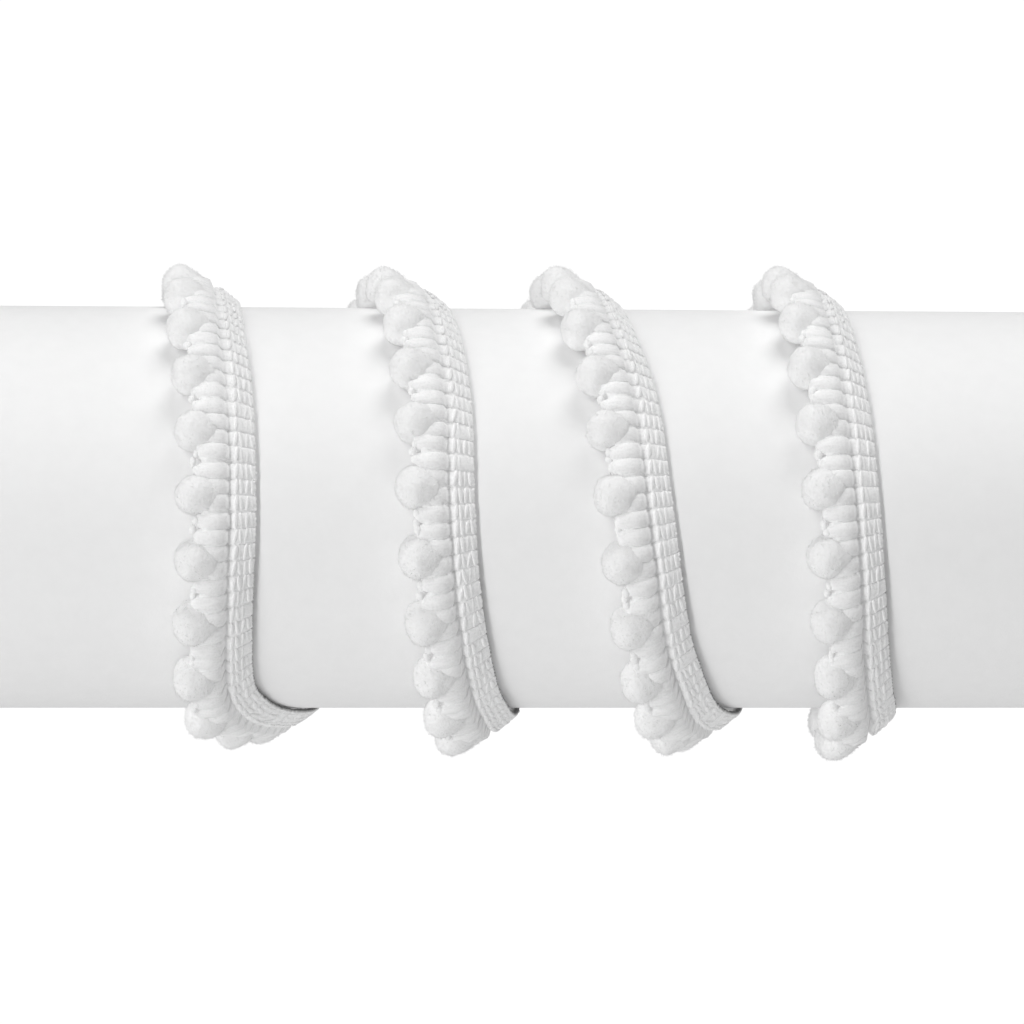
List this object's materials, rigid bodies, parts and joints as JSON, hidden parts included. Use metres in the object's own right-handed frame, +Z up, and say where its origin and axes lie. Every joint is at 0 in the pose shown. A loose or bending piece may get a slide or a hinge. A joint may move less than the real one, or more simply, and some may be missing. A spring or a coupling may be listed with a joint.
{
  "type": "pompom fringe trim wound on a tube",
  "caption": "White pompom fringe trim, a ribbed braid with a row of small pompoms along one edge, wound in loose turns round a plain white tube.",
  "frame": {"origin": "middle of the tube, on its axis", "axes": "+X along the tube, the way the turns advance; -Y the front; +Z up"},
  "size_m": [0.16, 0.0604, 0.0619],
  "materials": {
    "tube": "smooth matt white paper over a card core",
    "braid": "matt white crocheted yarn",
    "pompoms": "short dense white fuzz"
  },
  "bodies": {
    "root": {"tube": "tube", "braid": "braid", "pompoms": "pompoms"}
  },
  "joints": []
}
